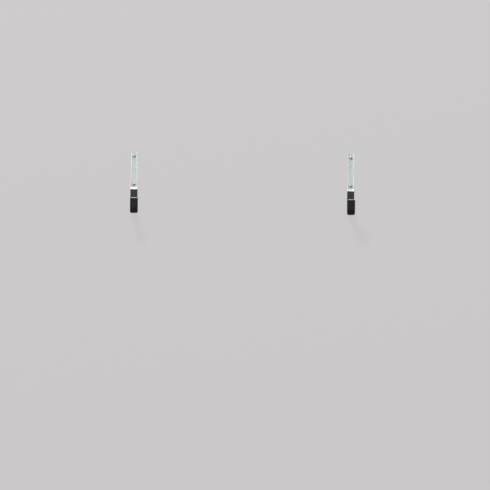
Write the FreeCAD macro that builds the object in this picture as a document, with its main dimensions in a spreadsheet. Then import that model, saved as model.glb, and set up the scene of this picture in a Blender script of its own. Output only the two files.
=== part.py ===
"""A pair of wall hooks that together carry a ladder or another long load along a wall.

Each hook is a bent steel channel strip with a soft sleeve over its U, held by two pan-head
screws in wall plugs. The frame is +X to the right along the wall, +Y into the wall and +Z up.
Its origin lies on the wall's surface, midway between the four screws. Sizes are millimetres.
"""

import FreeCAD, Part
import math
import os

import Sketcher

SIZES = {
    # the places of the two hooks and of the two screws in each
    "hook_spacing": 867.0,
    "screw_spacing": 113.0,
    # the steel channel strip: its web lies on the wall and its two edges stand out from it
    "strip_width": 25.0,
    "strip_depth": 6.0,
    "strip_gauge": 2.0,
    "strip_edge_bend": 4.5,
    "top_end_round": 5.0,
    "tip_end_round": 2.5,
    "top_margin": 16.0,
    "screw_hole_diameter": 6.6,
    # the joggle, which brings the U off the wall so that the sleeve fits behind it
    "joggle_margin": 14.9,
    "joggle_drop": 4.0,
    "joggle_wall_bend": 2.5,
    # the U
    "hook_drop": 112.0,
    "hook_reach": 150.5,
    "hook_lip": 60.0,
    "hook_bend": 22.0,
    # the soft sleeve
    "sleeve_wall": 2.0,
    "sleeve_clearance": 0.15,
    "sleeve_off_wall": 0.85,
    "sleeve_edge_round": 2.2,
    "sleeve_below_joggle": 1.6,
    "bare_tip": 1.5,
    # the pan-head screws
    "head_diameter": 13.0,
    "head_height": 3.8,
    "head_round": 2.6,
    "recess_length": 7.0,
    "recess_width": 1.8,
    "recess_depth": 2.2,
    "shank_diameter": 6.0,
    "shank_length": 50.0,
    "point_length": 6.0,
    "point_flat": 0.8,
    # the wall plugs
    "plug_diameter": 8.0,
    "plug_length": 40.0,
    "plug_clearance": 0.05,
    "plug_collar": 8.0,
    "slit_width": 1.2,
    "ring_start": 10.5,
    "ring_pitch": 5.0,
    "ring_width": 1.4,
    "ring_depth": 0.5,
}
RINGS_ON_PLUG = 6
SIDES = {"left": -1, "right": 1}
LEVELS = {"upper": 1, "lower": -1}


class Length:
    """A length with the formula that works it out from the sheet's cells."""

    def __init__(self, formula, value):
        self.formula = formula
        self.value = value

    @staticmethod
    def of(other):
        return other if isinstance(other, Length) else Length(repr(float(other)), float(other))

    def __add__(self, other):
        other = Length.of(other)
        return Length(f"({self.formula} + {other.formula})", self.value + other.value)

    def __sub__(self, other):
        other = Length.of(other)
        return Length(f"({self.formula} - {other.formula})", self.value - other.value)

    def __mul__(self, factor):
        return Length(f"({self.formula} * {float(factor)})", self.value * factor)

    def __truediv__(self, factor):
        return Length(f"({self.formula} / {float(factor)})", self.value / factor)

    def __neg__(self):
        return self * -1


def size(alias):
    """The length in the sheet's cell of this name."""
    return Length(f"Sizes.{alias}", float(sheet.get(alias)))


def bind(item, name, length):
    """Tie a property to the sheet."""
    item.setExpression(name, Length.of(length).formula)


document = FreeCAD.newDocument("WallHooks")
sheet = document.addObject("Spreadsheet::Sheet", "Sizes")
for row, (alias, number) in enumerate(SIZES.items(), start=1):
    sheet.set(f"A{row}", alias)
    sheet.set(f"B{row}", str(number))
    sheet.setAlias(f"B{row}", alias)
document.recompute()


# Bodies, sketches and features


def new_body(node):
    body = document.addObject("PartDesign::Body", node)
    body.Label = node
    return body


def new_sketch(body, name, role, lift=0):
    """A sketch on one of the body's origin planes, lifted along that plane's normal."""
    sketch = body.newObject("Sketcher::SketchObject", name)
    plane = next(feature for feature in body.Origin.OriginFeatures if feature.Role == role)
    sketch.AttachmentSupport = [(plane, "")]
    sketch.MapMode = "FlatFace"
    bind(sketch, "AttachmentOffset.Base.z", lift)
    return sketch


def pin_point(sketch, geometry, end, x, y):
    """Hold a point of the sketch at (x, y) from the sketch's origin."""
    for kind, distance in (("DistanceX", x), ("DistanceY", y)):
        rule = Sketcher.Constraint(kind, -1, 1, geometry, end, Length.of(distance).value)
        index = sketch.addConstraint(rule)
        bind(sketch, f"Constraints[{index}]", distance)


def draw_circle(sketch, diameter, x=0, y=0):
    centre = FreeCAD.Vector(Length.of(x).value, Length.of(y).value, 0)
    circle = sketch.addGeometry(Part.Circle(centre, FreeCAD.Vector(0, 0, 1), diameter.value / 2))
    pin_point(sketch, circle, 3, x, y)
    index = sketch.addConstraint(Sketcher.Constraint("Diameter", circle, diameter.value))
    bind(sketch, f"Constraints[{index}]", diameter)


def draw_path(sketch, corners, closed=True):
    """Straight runs between corners (x, y, round). A corner with a round gets a tangent arc."""
    count = len(corners)
    points = [FreeCAD.Vector(Length.of(x).value, Length.of(y).value, 0) for x, y, _ in corners]
    inner = range(count) if closed else range(1, count - 1)

    def tangent_points(i):
        """Where the runs before and after a corner end."""
        before = (points[i - 1] - points[i]).normalize()
        after = (points[(i + 1) % count] - points[i]).normalize()
        back = corners[i][2].value / math.tan(before.getAngle(after) / 2)
        return points[i] + before * back, points[i] + after * back

    rounded = {i: tangent_points(i) for i in inner if corners[i][2] is not None}
    runs = []
    for i in range(count if closed else count - 1):
        following = (i + 1) % count
        start = rounded[i][1] if i in rounded else points[i]
        stop = rounded[following][0] if following in rounded else points[following]
        runs.append(sketch.addGeometry(Part.LineSegment(start, stop)))
    for i in inner:
        arriving = runs[i - 1]
        leaving = runs[i]
        if i in rounded:
            draw_round(sketch, corners[i], points[i], rounded[i], arriving, leaving)
        else:
            sketch.addConstraint(Sketcher.Constraint("Coincident", arriving, 2, leaving, 1))
            pin_point(sketch, leaving, 1, *corners[i][:2])
    if not closed:
        pin_point(sketch, runs[0], 1, *corners[0][:2])
        pin_point(sketch, runs[-1], 2, *corners[-1][:2])


def draw_round(sketch, corner, point, tangents, arriving, leaving):
    """The arc at one corner, whose two runs both aim at the corner's own point."""
    x, y, radius = corner
    start, stop = tangents
    chord_middle = (start + stop) / 2
    inward = (chord_middle - point).normalize()
    run_back = (start - point).Length
    centre = point + inward * math.hypot(run_back, radius.value)
    turns_left = (point - start).cross(stop - point).z > 0
    first, last = (start, stop) if turns_left else (stop, start)
    angles = [math.atan2(end.y - centre.y, end.x - centre.x) for end in (first, last)]
    circle = Part.Circle(centre, FreeCAD.Vector(0, 0, 1), radius.value)
    arc = sketch.addGeometry(Part.ArcOfCircle(circle, *angles))
    arc_start, arc_stop = (1, 2) if turns_left else (2, 1)
    mark = sketch.addGeometry(Part.Point(point), True)
    pin_point(sketch, mark, 1, x, y)
    sketch.addConstraint(Sketcher.Constraint("PointOnObject", mark, 1, arriving))
    sketch.addConstraint(Sketcher.Constraint("PointOnObject", mark, 1, leaving))
    sketch.addConstraint(Sketcher.Constraint("Tangent", arriving, 2, arc, arc_start))
    sketch.addConstraint(Sketcher.Constraint("Tangent", arc, arc_stop, leaving, 1))
    index = sketch.addConstraint(Sketcher.Constraint("Radius", arc, radius.value))
    bind(sketch, f"Constraints[{index}]", radius)


def sweep(body, section, path):
    pipe = body.newObject("PartDesign::AdditivePipe", "Sweep")
    pipe.Profile = section
    pipe.Spine = (path, [f"Edge{i + 1}" for i in range(len(path.Shape.Edges))])
    pipe.Mode = "Binormal"
    pipe.Binormal = FreeCAD.Vector(1, 0, 0)
    document.recompute()
    return pipe


def pocket(body, sketch, depth=None):
    """Cut the sketch into the body, towards the wall, or right through both ways with no depth."""
    before = body.Tip.Shape.Volume
    cut = body.newObject("PartDesign::Pocket", "Pocket")
    cut.Profile = sketch
    if depth is None:
        cut.Type = "ThroughAll"
        cut.Midplane = True
    else:
        bind(cut, "Length", depth)
    document.recompute()
    if not cut.Shape.Volume < before - 0.01:
        raise RuntimeError(f"{body.Label}: {sketch.Label} cuts nothing")
    return cut


def revolve(body, kind, sketch):
    """Turn the sketch a full circle about the body's own Y axis."""
    turned = body.newObject(kind, "Turned")
    turned.Profile = sketch
    turned.ReferenceAxis = (sketch, ["H_Axis"])
    turned.Angle = 360
    document.recompute()
    return turned


def place(body, side, level=None, depth=0):
    """Put a body at its hook, and at the height of one of that hook's screws."""
    bind(body, "Placement.Base.x", size("hook_spacing") / 2 * SIDES[side])
    bind(body, "Placement.Base.y", depth)
    if level:
        bind(body, "Placement.Base.z", size("screw_spacing") / 2 * LEVELS[level])


# The hook's own geometry, shared by the strip and the sleeve


def hook_heights():
    """Heights down the hook: top end, both joggle corners, underside and bare tip."""
    top = size("screw_spacing") / 2 + size("top_margin")
    joggle_top = -(size("screw_spacing") / 2 + size("joggle_margin"))
    joggle_foot = joggle_top - size("joggle_drop")
    underside = -(size("screw_spacing") / 2 + size("hook_drop"))
    tip = underside + size("hook_lip")
    return top, joggle_top, joggle_foot, underside, tip


def joggle_depth():
    """How far the strip steps off the wall: the sleeve behind it, its clearance and its gap to the wall."""
    return size("sleeve_clearance") + size("sleeve_wall") + size("sleeve_off_wall")


def front_leg():
    """How far the outside of the U's front leg stands from the wall."""
    return -(joggle_depth() + size("hook_reach"))


def make_strip(side):
    body = new_body(f"{side}_hook_strip")
    top, joggle_top, joggle_foot, underside, tip = hook_heights()
    wall_bend = size("joggle_wall_bend")
    path = new_sketch(body, "Path", "YZ_Plane")
    draw_path(
        path,
        [
            (0, top, None),
            (0, joggle_top, wall_bend + size("strip_depth")),
            (-joggle_depth(), joggle_foot, wall_bend),
            (-joggle_depth(), underside, size("hook_bend")),
            (front_leg(), underside, size("hook_bend")),
            (front_leg(), tip, None),
        ],
        closed=False,
    )
    half = size("strip_width") / 2
    gauge = size("strip_gauge")
    edge = -size("strip_depth")
    bend = size("strip_edge_bend")
    section = new_sketch(body, "Section", "XY_Plane", lift=top)
    draw_path(
        section,
        [
            (-half, edge, None),
            (half * -1 + gauge, edge, None),
            (half * -1 + gauge, -gauge, bend - gauge),
            (half - gauge, -gauge, bend - gauge),
            (half - gauge, edge, None),
            (half, edge, None),
            (half, 0, bend),
            (-half, 0, bend),
        ],
    )
    document.recompute()
    sweep(body, section, path)
    round_end(body, "TopEnd", size("strip_depth"), top, size("top_end_round"))
    round_end(body, "TipEnd", -front_leg(), tip, size("tip_end_round"))
    holes = new_sketch(body, "ScrewHoles", "XZ_Plane", lift=gauge)
    for way in LEVELS.values():
        draw_circle(holes, size("screw_hole_diameter"), 0, size("screw_spacing") / 2 * way)
    pocket(body, holes, gauge)
    place(body, side)
    return body


def round_end(body, name, lift, height, radius):
    """Round both corners of the channel's end, seen from the front, through its whole depth."""
    corners = new_sketch(body, name, "XZ_Plane", lift=lift)
    for way in SIDES.values():
        side = size("strip_width") / 2 * way
        inner = (size("strip_width") / 2 - radius) * way
        low = height - radius
        corner = FreeCAD.Vector(side.value, height.value, 0)
        arc_foot = FreeCAD.Vector(side.value, low.value, 0)
        arc_head = FreeCAD.Vector(inner.value, height.value, 0)
        centre = FreeCAD.Vector(inner.value, low.value, 0)
        circle = Part.Circle(centre, FreeCAD.Vector(0, 0, 1), radius.value)
        turn = (0, math.pi / 2) if way > 0 else (math.pi / 2, math.pi)
        foot_end, head_end = (1, 2) if way > 0 else (2, 1)
        arc = corners.addGeometry(Part.ArcOfCircle(circle, *turn))
        upright = corners.addGeometry(Part.LineSegment(arc_foot, corner))
        level = corners.addGeometry(Part.LineSegment(corner, arc_head))
        corners.addConstraint(Sketcher.Constraint("Coincident", upright, 2, level, 1))
        corners.addConstraint(Sketcher.Constraint("Vertical", upright))
        corners.addConstraint(Sketcher.Constraint("Horizontal", level))
        pin_point(corners, upright, 2, side, height)
        corners.addConstraint(Sketcher.Constraint("Tangent", upright, 1, arc, foot_end))
        corners.addConstraint(Sketcher.Constraint("Tangent", level, 2, arc, head_end))
        index = corners.addConstraint(Sketcher.Constraint("Radius", arc, radius.value))
        bind(corners, f"Constraints[{index}]", radius)
    document.recompute()
    pocket(body, corners, size("strip_depth"))


def make_sleeve(side):
    body = new_body(f"{side}_sleeve")
    _, _, joggle_foot, underside, tip = hook_heights()
    back = -joggle_depth()
    start = joggle_foot - size("sleeve_below_joggle")
    path = new_sketch(body, "Path", "YZ_Plane")
    draw_path(
        path,
        [
            (back, start, None),
            (back, underside, size("hook_bend")),
            (front_leg(), underside, size("hook_bend")),
            (front_leg(), tip - size("bare_tip"), None),
        ],
        closed=False,
    )
    section = new_sketch(body, "Section", "XY_Plane", lift=start)
    clearance = size("sleeve_clearance")
    for grown, mouth_round in (
        (clearance, None),
        (clearance + size("sleeve_wall"), size("sleeve_edge_round")),
    ):
        half = size("strip_width") / 2 + grown
        web = back + grown
        mouth = back - size("strip_depth") - grown
        bend = size("strip_edge_bend") + grown
        draw_path(
            section,
            [
                (half, mouth, mouth_round),
                (half, web, bend),
                (-half, web, bend),
                (-half, mouth, mouth_round),
            ],
        )
    document.recompute()
    sweep(body, section, path)
    place(body, side)
    return body


def make_screw(side, level):
    body = new_body(f"{side}_{level}_screw")
    head = size("head_diameter") / 2
    shank = size("shank_diameter") / 2
    flat = size("point_flat") / 2
    profile = new_sketch(body, "Profile", "YZ_Plane")
    draw_path(
        profile,
        [
            (-size("head_height"), 0, None),
            (size("shank_length"), 0, None),
            (size("shank_length"), flat, None),
            (size("shank_length") - size("point_length"), shank, None),
            (0, shank, None),
            (0, head, None),
            (-size("head_height"), head, size("head_round")),
        ],
    )
    document.recompute()
    revolve(body, "PartDesign::Revolution", profile)
    arm = size("recess_length") / 2
    slot = size("recess_width") / 2
    cross = new_sketch(body, "CrossRecess", "XZ_Plane", lift=size("head_height"))
    quarter = [(arm, slot), (slot, slot), (slot, arm)]
    outline = []
    for x_way, y_way, step in ((1, 1, 1), (-1, 1, -1), (-1, -1, 1), (1, -1, -1)):
        outline += [(x * x_way, y * y_way, None) for x, y in quarter[::step]]
    draw_path(cross, outline)
    pocket(body, cross, size("recess_depth"))
    place(body, side, level, -size("strip_gauge"))
    return body


def make_plug(side, level):
    body = new_body(f"{side}_{level}_wall_plug")
    ring = new_sketch(body, "Ring", "XZ_Plane")
    draw_circle(ring, size("plug_diameter"))
    draw_circle(ring, size("shank_diameter") + size("plug_clearance") * 2)
    tube = body.newObject("PartDesign::Pad", "Tube")
    tube.Profile = ring
    tube.Reversed = True
    bind(tube, "Length", size("plug_length"))
    document.recompute()
    groove_section = new_sketch(body, "GrooveSection", "YZ_Plane")
    rim = size("plug_diameter") / 2
    near = size("ring_start")
    far = size("ring_start") + size("ring_width")
    depth = size("ring_depth")
    draw_path(
        groove_section,
        [
            (near, rim + depth, None),
            (far, rim + depth, None),
            (far, rim - depth, None),
            (near, rim - depth, None),
        ],
    )
    document.recompute()
    groove = revolve(body, "PartDesign::Groove", groove_section)
    rings = body.newObject("PartDesign::LinearPattern", "Rings")
    rings.Originals = [groove]
    rings.Direction = (groove_section, ["H_Axis"])
    rings.Occurrences = RINGS_ON_PLUG
    bind(rings, "Length", size("ring_pitch") * (RINGS_ON_PLUG - 1))
    body.Tip = rings
    document.recompute()
    slit = new_sketch(body, "Slit", "XY_Plane")
    half = size("slit_width") / 2
    draw_path(
        slit,
        [
            (-half, size("plug_collar"), None),
            (half, size("plug_collar"), None),
            (half, size("plug_length"), None),
            (-half, size("plug_length"), None),
        ],
    )
    document.recompute()
    pocket(body, slit)
    place(body, side, level)
    return body


def check_document(bodies):
    """Stop if a feature failed or a sub-part isn't one valid solid."""
    for item in document.Objects:
        if {"Invalid", "Error"} & set(item.State):
            raise RuntimeError(f"{item.Label} failed: {item.State}")
    for body in bodies:
        if body.Shape.isNull() or not body.Shape.isValid() or len(body.Shape.Solids) != 1:
            raise RuntimeError(f"{body.Label} isn't one valid solid")


bodies = []
for side in SIDES:
    bodies.append(make_strip(side))
    bodies.append(make_sleeve(side))
    for level in LEVELS:
        bodies.append(make_screw(side, level))
        bodies.append(make_plug(side, level))
document.recompute()
check_document(bodies)

os.makedirs("parts", exist_ok=True)
for body in bodies:
    body.Shape.exportStep(f"parts/{body.Label}.step")
    print(f"{body.Label}: {body.Shape.Volume:.1f} mm3")
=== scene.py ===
import math

import bmesh
import bpy
from mathutils import Matrix, Vector, noise


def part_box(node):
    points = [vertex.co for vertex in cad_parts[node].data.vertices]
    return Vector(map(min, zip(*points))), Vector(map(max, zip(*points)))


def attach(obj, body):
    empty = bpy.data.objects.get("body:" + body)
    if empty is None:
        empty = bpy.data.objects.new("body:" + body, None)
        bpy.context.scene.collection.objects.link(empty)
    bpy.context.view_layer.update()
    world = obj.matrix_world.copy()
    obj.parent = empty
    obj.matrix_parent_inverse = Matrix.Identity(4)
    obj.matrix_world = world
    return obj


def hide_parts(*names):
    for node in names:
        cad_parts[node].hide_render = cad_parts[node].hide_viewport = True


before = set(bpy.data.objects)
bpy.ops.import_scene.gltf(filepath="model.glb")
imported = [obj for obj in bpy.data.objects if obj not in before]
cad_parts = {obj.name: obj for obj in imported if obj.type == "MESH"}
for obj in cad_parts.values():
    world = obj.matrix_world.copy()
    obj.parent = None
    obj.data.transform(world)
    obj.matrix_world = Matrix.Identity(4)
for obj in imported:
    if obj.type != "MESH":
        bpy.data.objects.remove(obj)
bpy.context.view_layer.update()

SIDES = ("left", "right")
LEVELS = ("upper", "lower")

# the strip, and the bevels that soften its edges and the plugs'
GAUGE = 0.002
CHANNEL_DEPTH = 0.006
HOOK_BEND = 0.022
STRIP_EDGE = 0.00025
PLUG_EDGE = 0.00015

# the sleeve: its sizes, how far it swells over its CAD width, and the unevenness of its skin
SLEEVE_LIP = 0.0585
SLEEVE_WALL = 0.0020
SLEEVE_GIRTH = 0.076
WEB_CORNER = 0.0062
MOUTH_CORNER = 0.0026
LEAST_CORNER = 0.0008
LEAST_GAP = 0.0001
CUT_ROUND = 0.00035
BACK_SWELL = 0.956
FRONT_SWELL = 1.056
SWELL_FROM = 0.22
SWELL_TO = 0.80
MOUTH_SAG = 0.0011
CREASE_PITCH = 0.0052
CREASE_DEPTH = 0.00042
RIPPLE = 0.00016
WAVE = 0.00022
END_FLARE = 0.00018
FLARE_LENGTH = 0.004

# the sleeve's mesh: points in a ring, the step between rings outside, and the rings inside. The last
# ring before the inner face lies at INNER_ROUND of the wall's thickness and rounds the cut's inner edge.
RING = 112
STATION = 0.0012
INNER_STATIONS = 60
INNER_ROUND = 0.92

# the screws
HEAD_ROUND = 0.0026
HEAD_HEIGHT = 0.0038
HEAD_CROWN = 0.0007
RECESS_ARM = 0.0035
RECESS_SLOT = 0.0009
RECESS_DEPTH = 0.0023
RECESS_TURNS = {
    ("left", "upper"): 0.35,
    ("left", "lower"): 1.05,
    ("right", "upper"): 0.8,
    ("right", "lower"): 0.15,
}
NECK_RADIUS = 0.0027
NECK_LENGTH = 0.003
NECK_END = 0.0042
CORE_RADIUS = 0.0021
THREAD_RADIUS = 0.003
THREAD_PITCH = 0.0026
THREAD_FROM_SEAT = 0.0045
THREAD_FROM_TIP = 0.0012
POINT_LENGTH = 0.006
TIP_RADIUS = 0.0003
SUNK_IN_HEAD = 0.0002
SHARP_EDGE = math.radians(38)

# the mesh of a screw: segments round its head and shank, and steps in a turn of its thread
HEAD_SEGMENTS = 96
SHANK_SEGMENTS = 40
THREAD_STEPS = 30

# the stage
BACKDROP_HALF = 1.2
BACKDROP_TOP = 0.9
BACKDROP_GAP = 0.0006
BACKDROP_GLOW = (0.612, 0.597, 0.605)
BACKDROP_LIT_SHARE = 0.12
FLOOR_LEVEL = -1.5
FLOOR_HALF = 6.0

# the light: the studio's own from above and below, what the camera sees of it, and the soft panels
SKY = (0.18, 0.186, 0.192)
GROUND = (0.38, 0.38, 0.38)
BACKING = (0.58, 0.57, 0.575)
PANELS_AIM = Vector((0, 0, -0.05))
PANELS = {
    # place, width and height, power
    "front": ((0, -7.0, 0.8), (4.5, 3.0), 53),
    "key": ((-1.7, -5.6, 4.6), (1.3, 1.3), 325),
    "top": ((0.2, -1.6, 2.8), (3.2, 1.2), 24),
    "left": ((-3.6, -1.2, 0.5), (1.6, 2.4), 14),
    "right": ((3.6, -1.2, 0.3), (1.6, 2.4), 18),
    "behind": ((0.8, 3.6, 1.8), (2.6, 2.2), 90),
}

# the camera
FAR = 60.0
VIEW_WIDTH = 1.96
SENSOR = 36.0
AZIMUTH = math.radians(-0.6)
ELEVATION = math.radians(0.6)
ROLL = math.radians(0.555)
LOOK_AT = Vector((0.0128, 0, -0.2956))
CLIP_END = 200.0


def smooth_step(low, high, value):
    """0 below low, 1 above high and a smooth rise between them."""
    share = min(max((value - low) / (high - low), 0.0), 1.0)
    return share * share * (3 - 2 * share)


def mesh_object(name, points, faces, material):
    mesh = bpy.data.meshes.new(name)
    mesh.from_pydata(points, [], faces)
    mesh.update()
    mesh.polygons.foreach_set("use_smooth", [True] * len(mesh.polygons))
    piece = bpy.data.objects.new(name, mesh)
    bpy.context.scene.collection.objects.link(piece)
    piece.data.materials.append(material)
    return piece


# Materials

# a Mix node's colour sockets, by number, because its sockets for other types have the same names
COLOUR_INPUTS = (6, 7)
COLOUR_OUTPUT = 2


class Graph:
    """A material's node tree, with short calls for the nodes that the materials here share."""

    def __init__(self, name):
        self.material = bpy.data.materials.new(name)
        self.material.use_nodes = True
        self.tree = self.material.node_tree
        self.shader = self.tree.nodes["Principled BSDF"]
        self.place = self.add("ShaderNodeTexCoord").outputs["Object"]

    def add(self, kind, **settings):
        node = self.tree.nodes.new(kind)
        for key, setting in settings.items():
            setattr(node, key, setting)
        return node

    def link(self, source, target):
        self.tree.links.new(source, target)

    def feed(self, target, source):
        """Link a socket to a socket, or set it to a plain value."""
        if isinstance(source, bpy.types.NodeSocket):
            self.link(source, target)
        else:
            target.default_value = source

    def stretched(self, x=1, y=1, z=1):
        mapping = self.add("ShaderNodeMapping")
        self.link(self.place, mapping.inputs["Vector"])
        mapping.inputs["Scale"].default_value = (x, y, z)
        return mapping.outputs["Vector"]

    def noise(self, scale, detail=4, rough=0.5, distortion=0, where=None):
        node = self.add("ShaderNodeTexNoise")
        self.link(where or self.place, node.inputs["Vector"])
        node.inputs["Scale"].default_value = scale
        node.inputs["Detail"].default_value = detail
        node.inputs["Roughness"].default_value = rough
        node.inputs["Distortion"].default_value = distortion
        return node.outputs["Fac"]

    def cells(self, scale):
        node = self.add("ShaderNodeTexVoronoi")
        self.link(self.place, node.inputs["Vector"])
        node.inputs["Scale"].default_value = scale
        return node.outputs["Distance"]

    def range(self, source, low, high, to_low=0.0, to_high=1.0):
        node = self.add("ShaderNodeMapRange", interpolation_type="SMOOTHSTEP")
        self.link(source, node.inputs["Value"])
        ends = {"From Min": low, "From Max": high, "To Min": to_low, "To Max": to_high}
        for name, number in ends.items():
            node.inputs[name].default_value = number
        return node.outputs["Result"]

    def maths(self, operation, first, second=0.0):
        node = self.add("ShaderNodeMath", operation=operation)
        self.feed(node.inputs[0], first)
        self.feed(node.inputs[1], second)
        return node.outputs[0]

    def blend(self, share, first, second):
        """Colour first where share is 0 and colour second where it is 1."""
        node = self.add("ShaderNodeMix", data_type="RGBA")
        self.feed(node.inputs["Factor"], share)
        for number, colour in zip(COLOUR_INPUTS, (first, second)):
            linked = isinstance(colour, bpy.types.NodeSocket)
            self.feed(node.inputs[number], colour if linked else (*colour, 1))
        return node.outputs[COLOUR_OUTPUT]

    def bumps(self, *layers):
        """Stack (height, strength, distance) layers of bump on the shader's normal."""
        normal = None
        for height, strength, distance in layers:
            node = self.add("ShaderNodeBump")
            self.link(height, node.inputs["Height"])
            node.inputs["Strength"].default_value = strength
            node.inputs["Distance"].default_value = distance
            if normal is not None:
                self.link(normal, node.inputs["Normal"])
            normal = node.outputs["Normal"]
        self.link(normal, self.shader.inputs["Normal"])

    def coordinate(self, axis):
        node = self.add("ShaderNodeSeparateXYZ")
        self.link(self.place, node.inputs[0])
        return node.outputs[axis]

    def attribute(self, name):
        return self.add("ShaderNodeAttribute", attribute_name=name).outputs["Fac"]


def zinc_strip_material():
    """Bright zinc plate on rolled strip: pale blue-green, cloudy, with rolling lines and fine scratches,
    with painted shade darker and bluer towards the top and on the tip, and cut edges painted near white,
    partly bare steel and partly a painted highlight.
    """
    graph = Graph("zinc_strip")
    shader = graph.shader.inputs
    along = graph.stretched(1, 1, 0.02)
    clouds = graph.range(graph.noise(42, 5, 0.6), 0.35, 0.68)
    streaks = graph.noise(1500, 3, 0.6, where=along)
    lines = graph.range(streaks, 0.3, 0.72)
    slanted = graph.add("ShaderNodeMapping")
    graph.link(graph.place, slanted.inputs["Vector"])
    slanted.inputs["Rotation"].default_value = (0, 0.5, 0)
    slanted.inputs["Scale"].default_value = (1, 1, 0.03)
    scratches = graph.range(graph.noise(900, 2, 0.5, where=slanted.outputs[0]), 0.70, 0.76)
    spots = graph.range(graph.noise(320, 4, 0.7), 0.62, 0.74)
    colour = graph.blend(clouds, (0.55, 0.605, 0.60), (0.65, 0.70, 0.695))
    # painted shade: the strip turns darker and bluer towards its top, standing in for how the light falls
    # on it
    painted_top_shade = graph.range(graph.coordinate("Z"), -0.07, 0.075, 0, 0.5)
    colour = graph.blend(painted_top_shade, colour, (0.47, 0.535, 0.545))
    # painted shade: the strip's front leg, bare only at its tip above the sleeve, painted darker
    painted_tip_shade = graph.range(graph.coordinate("Y"), -0.148, -0.152, 0, 0.6)
    colour = graph.blend(painted_tip_shade, colour, (0.36, 0.38, 0.38))
    colour = graph.blend(graph.maths("MULTIPLY", lines, 0.22), colour, (0.78, 0.82, 0.81))
    colour = graph.blend(graph.maths("MULTIPLY", spots, 0.25), colour, (0.66, 0.655, 0.60))
    colour = graph.blend(graph.maths("MULTIPLY", scratches, 0.5), colour, (0.86, 0.88, 0.88))
    # the flanges' cut edges painted near white: partly bare sheared steel, partly a painted highlight
    cut_edge_and_painted_highlight = graph.range(graph.coordinate("Y"), -CHANNEL_DEPTH + 0.0002, -CHANNEL_DEPTH)
    colour = graph.blend(cut_edge_and_painted_highlight, colour, (0.95, 0.965, 0.965))
    graph.link(colour, shader["Base Color"])
    shader["Metallic"].default_value = 0.6
    rough = graph.maths("ADD", graph.range(clouds, 0, 1, 0.40, 0.52), graph.maths("MULTIPLY", lines, 0.06))
    rough = graph.maths("SUBTRACT", rough, graph.maths("MULTIPLY", scratches, 0.12))
    graph.link(rough, shader["Roughness"])
    graph.bumps(
        (streaks, 0.06, 0.0002),
        (scratches, 0.25, 0.00005),
        (graph.noise(260, 4, 0.6), 0.04, 0.0004),
    )
    return graph.material


def zinc_screw_material():
    """Zinc plate on a cold-headed screw: greyer than the strip, rubbed in spots, with painted shade, near
    black, in the recess.
    """
    graph = Graph("zinc_screw")
    shader = graph.shader.inputs
    clouds = graph.range(graph.noise(300, 5, 0.6), 0.3, 0.7)
    grains = graph.noise(2600, 3, 0.6)
    colour = graph.blend(clouds, (0.41, 0.435, 0.43), (0.52, 0.545, 0.54))
    rubbed = graph.range(graph.noise(900, 3, 0.5), 0.58, 0.72)
    colour = graph.blend(graph.maths("MULTIPLY", rubbed, 0.5), colour, (0.62, 0.65, 0.65))
    # painted shade: the cross recess painted near black, where shade falls in it
    recess_shade_mask = graph.attribute("recess")
    colour = graph.blend(graph.maths("MULTIPLY", recess_shade_mask, 0.75), colour, (0.09, 0.094, 0.094))
    graph.link(colour, shader["Base Color"])
    shader["Metallic"].default_value = 0.8
    graph.link(graph.range(clouds, 0, 1, 0.40, 0.54), shader["Roughness"])
    graph.bumps((grains, 0.08, 0.0001), (graph.noise(500, 4, 0.6), 0.08, 0.0002))
    return graph.material


def sleeve_material():
    """Soft black PVC: matt, with faint drawing lines along it, painted lighter all over inside the U as
    painted light, and scuffed in patches where loads rub there.
    """
    graph = Graph("black_sleeve")
    shader = graph.shader.inputs
    inside = graph.attribute("inside")
    around = graph.attribute("around")
    along = graph.attribute("along")
    path = graph.add("ShaderNodeCombineXYZ")
    graph.link(around, path.inputs[0])
    graph.link(graph.maths("MULTIPLY", along, 0.03), path.inputs[1])
    drawing = graph.noise(1400, 3, 0.6, where=path.outputs[0])
    skin = graph.noise(1900, 5, 0.65)
    pores = graph.cells(1500)
    clouds = graph.range(graph.noise(55, 5, 0.6), 0.35, 0.7)
    crossing = graph.add("ShaderNodeCombineXYZ")
    graph.link(graph.maths("MULTIPLY", around, 0.06), crossing.inputs[0])
    graph.link(along, crossing.inputs[1])
    rubs = graph.range(graph.noise(700, 4, 0.7, 0.3, crossing.outputs[0]), 0.50, 0.72)
    patches = graph.range(graph.noise(70, 4, 0.6), 0.40, 0.62)
    scuffed = graph.maths("MULTIPLY", graph.maths("MULTIPLY", rubs, patches), inside)
    colour = graph.blend(clouds, (0.0070, 0.0070, 0.0074), (0.0125, 0.0125, 0.0130))
    # painted light: the U's inner faces painted lighter all over, as if lit more than the outside
    colour = graph.blend(graph.maths("MULTIPLY", inside, 0.55), colour, (0.057, 0.057, 0.058))
    colour = graph.blend(graph.maths("MULTIPLY", scuffed, 0.55), colour, (0.12, 0.118, 0.115))
    dust = graph.range(graph.noise(2300, 2, 0.5), 0.70, 0.78)
    colour = graph.blend(graph.maths("MULTIPLY", dust, 0.22), colour, (0.16, 0.155, 0.15))
    graph.link(colour, shader["Base Color"])
    rough = graph.maths("ADD", graph.range(clouds, 0, 1, 0.46, 0.58), graph.maths("MULTIPLY", scuffed, 0.2))
    graph.link(rough, shader["Roughness"])
    shader["Specular IOR Level"].default_value = 0.22
    graph.bumps(
        (drawing, 0.22, 0.0002),
        (skin, 0.16, 0.0001),
        (pores, 0.07, 0.0001),
        (rubs, 0.10, 0.0001),
    )
    return graph.material


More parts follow.
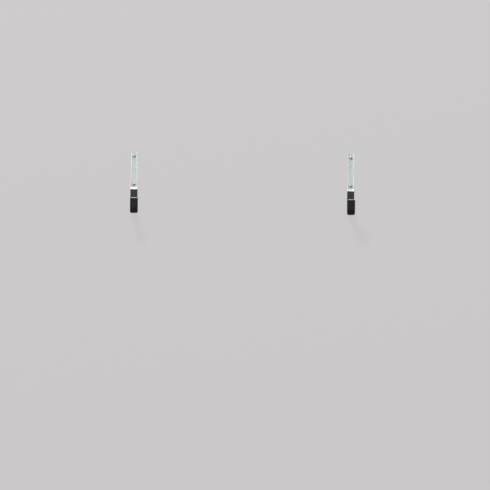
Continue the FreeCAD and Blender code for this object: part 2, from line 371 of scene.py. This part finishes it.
def nylon_material():
    """Moulded grey nylon: slightly waxy, with a fine spark-eroded grain."""
    graph = Graph("grey_nylon")
    shader = graph.shader.inputs
    clouds = graph.range(graph.noise(160, 4, 0.6), 0.3, 0.7)
    grain = graph.noise(3200, 4, 0.6)
    graph.link(graph.blend(clouds, (0.25, 0.26, 0.27), (0.33, 0.335, 0.34)), shader["Base Color"])
    graph.link(graph.range(grain, 0.3, 0.7, 0.42, 0.6), shader["Roughness"])
    shader["Subsurface Weight"].default_value = 0.12
    shader["Subsurface Scale"].default_value = 0.002
    graph.bumps((grain, 0.2, 0.0001), (graph.noise(700, 3, 0.5), 0.1, 0.0002))
    return graph.material


# The sleeves


def section_outline(half_width, web, mouth, web_corner, mouth_corner, count):
    """Evenly spaced points round a rounded rectangle and their outward normals, from the mouth's middle."""
    runs = []

    def straight(x0, n0, x1, n1, normal):
        def at(t):
            return (x0 + (x1 - x0) * t, n0 + (n1 - n0) * t), normal

        runs.append((math.hypot(x1 - x0, n1 - n0), at))

    def turn(centre_x, centre_n, radius, begin):
        def at(t):
            angle = begin - math.pi / 2 * t
            way = (math.cos(angle), math.sin(angle))
            return (centre_x + radius * way[0], centre_n + radius * way[1]), way

        runs.append((radius * math.pi / 2, at))

    flat_mouth = half_width - mouth_corner
    flat_web = half_width - web_corner
    straight(0, mouth, flat_mouth, mouth, (0, 1))
    turn(flat_mouth, mouth - mouth_corner, mouth_corner, math.pi / 2)
    straight(half_width, mouth - mouth_corner, half_width, web + web_corner, (1, 0))
    turn(flat_web, web + web_corner, web_corner, 0)
    straight(flat_web, web, -flat_web, web, (0, -1))
    turn(-flat_web, web + web_corner, web_corner, -math.pi / 2)
    straight(-half_width, web + web_corner, -half_width, mouth - mouth_corner, (-1, 0))
    turn(-flat_mouth, mouth - mouth_corner, mouth_corner, math.pi)
    straight(-flat_mouth, mouth, 0, mouth, (0, 1))
    total = sum(length for length, _ in runs)
    points = []
    for i in range(count):
        left = total * i / count
        for length, at in runs:
            if left <= length:
                points.append(at(left / length if length else 0))
                break
            left -= length
    return points


class Hook:
    """The line of the strip's outer face round the U, in an upright plane square to the wall."""

    def __init__(self, side):
        strip_low, strip_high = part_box(f"{side}_hook_strip")
        sleeve_low, sleeve_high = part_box(f"{side}_sleeve")
        self.x = (strip_low.x + strip_high.x) / 2
        self.strip_half = (strip_high.x - strip_low.x) / 2
        self.half_width = (sleeve_high.x - sleeve_low.x) / 2
        self.skin = self.half_width - self.strip_half
        self.back = sleeve_high.y - self.skin
        self.front = sleeve_low.y + self.skin
        self.floor = sleeve_low.z + self.skin
        self.start = sleeve_high.z
        self.stop = self.floor + SLEEVE_LIP
        quarter = HOOK_BEND * math.pi / 2
        self.spans = [
            ("down", self.start - self.floor - HOOK_BEND),
            ("back_bend", quarter),
            ("forward", self.back - self.front - 2 * HOOK_BEND),
            ("front_bend", quarter),
            ("up", self.stop - self.floor - HOOK_BEND),
        ]
        self.length = sum(length for _, length in self.spans)

    def at(self, distance):
        """(point, direction to the inside of the U, how far into a bend) at a distance along the line."""
        left = distance
        for name, length in self.spans:
            if left <= length or name == "up":
                break
            left -= length
        turn = left / HOOK_BEND
        bent = math.sin(min(max(left / length, 0), 1) * math.pi)
        if name == "down":
            return Vector((0, self.back, self.start - left)), Vector((0, -1, 0)), 0
        if name == "back_bend":
            inward = Vector((0, -math.cos(turn), math.sin(turn)))
            centre = Vector((0, self.back - HOOK_BEND, self.floor + HOOK_BEND))
            return centre - inward * HOOK_BEND, inward, bent
        if name == "forward":
            return Vector((0, self.back - HOOK_BEND - left, self.floor)), Vector((0, 0, 1)), 0
        if name == "front_bend":
            inward = Vector((0, math.sin(turn), math.cos(turn)))
            centre = Vector((0, self.front + HOOK_BEND, self.floor + HOOK_BEND))
            return centre - inward * HOOK_BEND, inward, bent
        return Vector((0, self.front, self.floor + HOOK_BEND + left)), Vector((0, 1, 0)), 0


def make_sleeve(side, seed, material):
    """A soft tube over the U: it sags over the channel's mouth, creases in the bends and is cut square."""
    hook = Hook(side)
    drift = Vector((seed * 3.1, seed * 1.7, seed * 5.3))
    points, along, around, inside = [], [], [], []

    def wall_at(distance):
        """(half width of the tube, thickness of its wall): tight at the back and loose in front."""
        loose = smooth_step(SWELL_FROM, SWELL_TO, distance / hook.length)
        half = hook.half_width * (BACK_SWELL + (FRONT_SWELL - BACK_SWELL) * loose)
        return half, min(SLEEVE_WALL, half - hook.strip_half - LEAST_GAP)

    def add_ring(distance, depth):
        """One ring of the tube, at a depth of 0 on its outer face to 1 on its inner face."""
        origin, inward, bent = hook.at(distance)
        half, wall = wall_at(distance)
        inset = wall * depth
        web = -hook.skin + SLEEVE_WALL * depth
        mouth = CHANNEL_DEPTH + hook.skin - SLEEVE_WALL * depth
        rounds = WEB_CORNER - inset, max(MOUTH_CORNER - inset, LEAST_CORNER)
        outline = section_outline(half - inset, web, mouth, *rounds, RING)
        for i, ((x, n), (normal_x, normal_n)) in enumerate(outline):
            facing_in = smooth_step(-0.1, 0.95, normal_n)
            across = max(1 - (x / (hook.strip_half - GAUGE)) ** 2, 0)
            sag = MOUTH_SAG * facing_in * smooth_step(0, 1, across) * (1 - 0.6 * bent)
            place = Vector((x, n, distance)) + drift
            crease = math.sin(distance / CREASE_PITCH * 2 * math.pi + 2.2 * noise.noise(place * 70))
            crease *= CREASE_DEPTH * bent * facing_in * (0.7 + 0.6 * noise.noise(place * 55))
            ripple = RIPPLE * noise.noise(place * 120) + WAVE * noise.noise(place * 38)
            flare = END_FLARE * max(0, 1 - min(distance, hook.length - distance) / FLARE_LENGTH)
            out = (crease + ripple + flare) * (1 - 0.8 * depth)
            x += normal_x * out
            n += normal_n * out - sag
            points.append(Vector((hook.x + x, 0, 0)) + origin + inward * n)
            along.append(distance)
            around.append(i / RING * SLEEVE_GIRTH)
            inside.append(smooth_step(-0.2, 0.8, normal_n))

    rounding = []
    for turn in (30, 60, 90):
        angle = math.radians(turn)
        rounding.append((CUT_ROUND * math.sin(angle), CUT_ROUND * (1 - math.cos(angle)) / SLEEVE_WALL))
    count = round(hook.length / STATION)
    for step in range(count + 1):
        add_ring(CUT_ROUND + (hook.length - 2 * CUT_ROUND) * step / count, 0)
    for beyond, depth in rounding:
        add_ring(hook.length - CUT_ROUND + beyond, depth)
    add_ring(hook.length, INNER_ROUND)
    for step in range(INNER_STATIONS + 1):
        add_ring(hook.length - CUT_ROUND / 2 - (hook.length - CUT_ROUND) * step / INNER_STATIONS, 1)
    add_ring(0, INNER_ROUND)
    for beyond, depth in reversed(rounding):
        add_ring(CUT_ROUND - beyond, depth)
    rings = len(points) // RING
    faces = []
    for ring in range(rings):
        following = (ring + 1) % rings
        for i in range(RING):
            j = (i + 1) % RING
            faces.append((ring * RING + i, following * RING + i, following * RING + j, ring * RING + j))
    piece = mesh_object(f"{side}_soft_sleeve", points, faces, material)
    for name, values in (("along", along), ("around", around), ("inside", inside)):
        layer = piece.data.attributes.new(name, "FLOAT", "POINT")
        layer.data.foreach_set("value", values)
    fix_normals(piece)
    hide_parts(f"{side}_sleeve")
    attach(piece, "root")


def fix_normals(piece):
    shape = bmesh.new()
    shape.from_mesh(piece.data)
    bmesh.ops.recalc_face_normals(shape, faces=shape.faces)
    shape.to_mesh(piece.data)
    shape.free()


# The screws


def lathe(profile, segments):
    """Points and faces of (depth, radius) pairs turned about the Y axis, with both ends on the axis."""
    points = []
    faces = []
    rings = []
    for depth, radius in profile:
        if radius == 0:
            rings.append([len(points)])
            points.append(Vector((0, depth, 0)))
            continue
        ring = []
        for i in range(segments):
            angle = 2 * math.pi * i / segments
            ring.append(len(points))
            points.append(Vector((radius * math.cos(angle), depth, radius * math.sin(angle))))
        rings.append(ring)
    for before, after in zip(rings, rings[1:]):
        for i in range(segments):
            j = (i + 1) % segments
            if len(before) == 1:
                faces.append((before[0], after[i], after[j]))
            elif len(after) == 1:
                faces.append((before[i], after[0], before[j]))
            else:
                faces.append((before[i], after[i], after[j], before[j]))
    return points, faces


def slot_cutter(top, turn):
    """A tapering bar, one of the two that cut the cross recess."""
    rims = (
        (top - 0.001, RECESS_ARM * 1.15, RECESS_SLOT * 1.1),
        (top + RECESS_DEPTH, RECESS_ARM * 0.55, RECESS_SLOT * 0.7),
    )
    spin = Matrix.Rotation(turn, 3, "Y")
    corners = []
    for depth, arm, slot in rims:
        for x, z in ((-arm, -slot), (arm, -slot), (arm, slot), (-arm, slot)):
            corners.append(spin @ Vector((x, depth, z)))
    sides = [(i, (i + 1) % 4, (i + 1) % 4 + 4, i + 4) for i in range(4)]
    mesh = bpy.data.meshes.new("cutter")
    mesh.from_pydata(corners, [], [(0, 1, 2, 3), (4, 5, 6, 7), *sides])
    cutter = bpy.data.objects.new("cutter", mesh)
    bpy.context.scene.collection.objects.link(cutter)
    fix_normals(cutter)
    return cutter


def cut_recess(piece, top, turn):
    """Cut a cross recess into a screw's head, one bar after the other."""
    for quarter in (0, math.pi / 2):
        cutter = slot_cutter(top, turn + quarter)
        cut = piece.modifiers.new("recess", "BOOLEAN")
        cut.object = cutter
        cut.operation = "DIFFERENCE"
        cut.solver = "EXACT"
        bpy.context.view_layer.update()
        shaped = piece.evaluated_get(bpy.context.evaluated_depsgraph_get())
        mesh = bpy.data.meshes.new_from_object(shaped)
        piece.modifiers.clear()
        piece.data = mesh
        bpy.data.objects.remove(cutter)


def thread_ridge(start, stop, point_from):
    """A helical ridge, sharp at its crest, that fades in below the head and runs out on the point."""
    half = THREAD_PITCH * 0.24
    turns = (stop - start) / THREAD_PITCH
    steps = int(turns * THREAD_STEPS)
    points = []
    for step in range(steps + 1):
        depth = start + (stop - start) * step / steps
        angle = 2 * math.pi * step / THREAD_STEPS
        rise = smooth_step(0, 0.06, step / steps)
        taper = 1 - smooth_step(point_from, stop + 0.0015, depth)
        core = CORE_RADIUS * max(taper, 0.10)
        crest = core + (THREAD_RADIUS - CORE_RADIUS) * rise * max(taper, 0.12)
        root = core * 0.8
        for radius, shift in ((root, -half), (core, -half), (crest, 0), (core, half), (root, half)):
            points.append(Vector((radius * math.cos(angle), depth + shift, radius * math.sin(angle))))
    faces = []
    for step in range(steps):
        for i in range(5):
            j = (i + 1) % 5
            faces.append((step * 5 + i, (step + 1) * 5 + i, (step + 1) * 5 + j, step * 5 + j))
    faces.append(tuple(range(5)))
    faces.append(tuple(steps * 5 + i for i in reversed(range(5))))
    return points, faces


def head_profile(top, seat, radius):
    """A low dome that rolls over into a short upright rim and a flat seat."""
    flat = radius - HEAD_ROUND
    rim_turn = math.atan(2 * HEAD_CROWN / flat)
    profile = [(top, 0)]
    for i in range(1, 15):
        out = flat * i / 14
        profile.append((top + HEAD_CROWN * (out / flat) ** 2, out))
    drop = HEAD_ROUND * math.cos(rim_turn)
    centre_out = flat - HEAD_ROUND * math.sin(rim_turn)
    reach = (radius - centre_out) / HEAD_ROUND
    for i in range(1, 13):
        angle = rim_turn + (math.pi / 2 - rim_turn) * i / 12
        out = centre_out + HEAD_ROUND * reach * math.sin(angle)
        profile.append((top + HEAD_CROWN + drop - HEAD_ROUND * math.cos(angle), out))
    profile += [
        (seat - 0.00025, radius),
        (seat - 0.00006, radius - 0.00008),
        (seat, radius - 0.00025),
        (seat, 0),
    ]
    return profile


def make_screw(side, level, material):
    """A pan-head screw: domed head with a tapering cross recess, neck, core, point and thread."""
    node = f"{side}_{level}_screw"
    low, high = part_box(node)
    centre = Vector(((low.x + high.x) / 2, 0, (low.z + high.z) / 2))
    top, tip = low.y, high.y
    seat = top + HEAD_HEIGHT
    point_from = tip - POINT_LENGTH
    points, faces = lathe(head_profile(top, seat, (high.x - low.x) / 2), HEAD_SEGMENTS)
    piece = mesh_object(f"{side}_{level}_pan_screw", points, faces, material)
    fix_normals(piece)
    cut_recess(piece, top, RECESS_TURNS[side, level])
    shank = [
        (seat - SUNK_IN_HEAD, 0),
        (seat - SUNK_IN_HEAD, NECK_RADIUS),
        (seat + NECK_LENGTH, NECK_RADIUS),
        (seat + NECK_END, CORE_RADIUS),
        (point_from, CORE_RADIUS),
        (tip, TIP_RADIUS),
        (tip, 0),
    ]
    shape = bmesh.new()
    shape.from_mesh(piece.data)
    # the recess mask that the screw material paints near black as painted shade
    recess_shade_mask = shape.verts.layers.float.new("recess")
    for vertex in shape.verts:
        from_axis = math.hypot(vertex.co.x, vertex.co.z)
        sunk = vertex.co.y - top - HEAD_CROWN * (from_axis / RECESS_ARM) ** 2
        inside = from_axis < RECESS_ARM * 1.2 and vertex.co.y < seat - 0.0005
        vertex[recess_shade_mask] = smooth_step(0.0001, 0.0008, sunk) if inside else 0
    ridge = thread_ridge(seat + THREAD_FROM_SEAT, tip - THREAD_FROM_TIP, point_from)
    for extra, extra_faces in (lathe(shank, SHANK_SEGMENTS), ridge):
        made = [shape.verts.new(point) for point in extra]
        for corner_numbers in extra_faces:
            shape.faces.new([made[i] for i in corner_numbers])
    bmesh.ops.recalc_face_normals(shape, faces=shape.faces)
    for face in shape.faces:
        face.smooth = True
    for edge in shape.edges:
        if len(edge.link_faces) == 2 and edge.calc_face_angle(0) > SHARP_EDGE:
            edge.smooth = False
    bmesh.ops.translate(shape, verts=shape.verts, vec=centre)
    shape.to_mesh(piece.data)
    shape.free()
    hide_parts(node)
    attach(piece, "root")


# The strips and the plugs, which keep their CAD shapes


def soften_edges(node, width, material):
    """Give a CAD node its material and small rounds on its sharp edges."""
    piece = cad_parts[node]
    piece.data.materials.clear()
    piece.data.materials.append(material)
    weld = piece.modifiers.new("weld", "WELD")
    weld.merge_threshold = 0.000002
    bevel = piece.modifiers.new("edges", "BEVEL")
    bevel.width = width
    bevel.segments = 2
    bevel.limit_method = "ANGLE"
    bevel.angle_limit = math.radians(40)


# The stage


def make_backdrop():
    """A plain pale backdrop just behind the hooks, seen from the front only and clear of the light."""
    graph = Graph("backdrop")
    shader = graph.shader.inputs
    shader["Base Color"].default_value = (0.56, 0.55, 0.555, 1)
    shader["Roughness"].default_value = 1
    shader["Specular IOR Level"].default_value = 0
    glow = graph.add("ShaderNodeEmission")
    glow.inputs["Color"].default_value = (*BACKDROP_GLOW, 1)
    front = graph.add("ShaderNodeMixShader")
    front.inputs["Fac"].default_value = BACKDROP_LIT_SHARE
    graph.link(glow.outputs[0], front.inputs[1])
    graph.link(graph.shader.outputs[0], front.inputs[2])
    seen = graph.add("ShaderNodeMixShader")
    graph.link(graph.add("ShaderNodeNewGeometry").outputs["Backfacing"], seen.inputs["Fac"])
    graph.link(front.outputs[0], seen.inputs[1])
    graph.link(graph.add("ShaderNodeBsdfTransparent").outputs[0], seen.inputs[2])
    graph.link(seen.outputs[0], graph.tree.nodes["Material Output"].inputs["Surface"])
    half, gap = BACKDROP_HALF, BACKDROP_GAP
    low, high = FLOOR_LEVEL, BACKDROP_TOP
    corners = [(-half, gap, low), (half, gap, low), (half, gap, high), (-half, gap, high)]
    backdrop = mesh_object("backdrop", corners, [(0, 1, 2, 3)], graph.material)
    for ray in ("diffuse", "glossy", "transmission", "shadow", "volume_scatter"):
        setattr(backdrop, f"visible_{ray}", False)
    return backdrop


def make_floor():
    graph = Graph("floor")
    shader = graph.shader.inputs
    shader["Base Color"].default_value = (0.62, 0.615, 0.61, 1)
    shader["Roughness"].default_value = 0.9
    half, low = FLOOR_HALF, FLOOR_LEVEL
    corners = [(-half, -half, low), (half, -half, low), (half, half, low), (-half, half, low)]
    floor = mesh_object("floor", corners, [(0, 1, 2, 3)], graph.material)
    floor.visible_diffuse = False
    floor.visible_glossy = False
    return floor


def add_panel(name, place, size, power):
    data = bpy.data.lights.new(name, "AREA")
    data.shape = "RECTANGLE"
    data.size, data.size_y = size
    data.energy = power
    light = bpy.data.objects.new(name, data)
    light.location = place
    light.rotation_mode = "QUATERNION"
    light.rotation_quaternion = (PANELS_AIM - Vector(place)).to_track_quat("-Z", "Y")
    light.visible_camera = False
    bpy.context.scene.collection.objects.link(light)


def light_scene():
    """Soft panels round the hooks, and a studio with a pale ground, which the camera sees as plain grey."""
    world = bpy.data.worlds.new("studio")
    world.use_nodes = True
    tree = world.node_tree
    background = tree.nodes["Background"]
    height = tree.nodes.new("ShaderNodeSeparateXYZ")
    rise = tree.nodes.new("ShaderNodeMapRange")
    shade = tree.nodes.new("ShaderNodeMix")
    shade.data_type = "RGBA"
    tree.links.new(tree.nodes.new("ShaderNodeTexCoord").outputs["Generated"], height.inputs[0])
    tree.links.new(height.outputs["Z"], rise.inputs["Value"])
    rise.inputs["From Min"].default_value = -0.5
    rise.inputs["From Max"].default_value = 0.4
    tree.links.new(rise.outputs["Result"], shade.inputs["Factor"])
    for number, colour in zip(COLOUR_INPUTS, (GROUND, SKY)):
        shade.inputs[number].default_value = (*colour, 1)
    tree.links.new(shade.outputs[COLOUR_OUTPUT], background.inputs["Color"])
    backing = tree.nodes.new("ShaderNodeBackground")
    backing.inputs["Color"].default_value = (*BACKING, 1)
    seen = tree.nodes.new("ShaderNodeMixShader")
    tree.links.new(tree.nodes.new("ShaderNodeLightPath").outputs["Is Camera Ray"], seen.inputs["Fac"])
    tree.links.new(background.outputs[0], seen.inputs[1])
    tree.links.new(backing.outputs[0], seen.inputs[2])
    tree.links.new(seen.outputs[0], tree.nodes["World Output"].inputs["Surface"])
    bpy.context.scene.world = world
    for name, setting in PANELS.items():
        add_panel(name, *setting)


def make_camera():
    """A long lens almost straight at the wall, from a little to the left and above, rolled a little."""
    data = bpy.data.cameras.new("camera")
    data.sensor_width = SENSOR
    data.lens = SENSOR * FAR / VIEW_WIDTH
    data.clip_end = CLIP_END
    camera = bpy.data.objects.new("camera", data)
    back = Vector((
        math.sin(AZIMUTH) * math.cos(ELEVATION),
        -math.cos(AZIMUTH) * math.cos(ELEVATION),
        math.sin(ELEVATION),
    ))
    aim = (-back).to_track_quat("-Z", "Y").to_matrix().to_4x4()
    camera.matrix_world = Matrix.Translation(LOOK_AT + back * FAR) @ aim @ Matrix.Rotation(ROLL, 4, "Z")
    bpy.context.scene.collection.objects.link(camera)
    bpy.context.scene.camera = camera


# The making


strip_zinc = zinc_strip_material()
screw_zinc = zinc_screw_material()
black_pvc = sleeve_material()
grey_nylon = nylon_material()
for number, side in enumerate(SIDES):
    soften_edges(f"{side}_hook_strip", STRIP_EDGE, strip_zinc)
    make_sleeve(side, number + 1, black_pvc)
    for level in LEVELS:
        make_screw(side, level, screw_zinc)
        soften_edges(f"{side}_{level}_wall_plug", PLUG_EDGE, grey_nylon)

make_backdrop()
make_floor()
light_scene()
make_camera()
bpy.context.scene.view_settings.view_transform = "Standard"
bpy.context.scene.view_settings.look = "None"
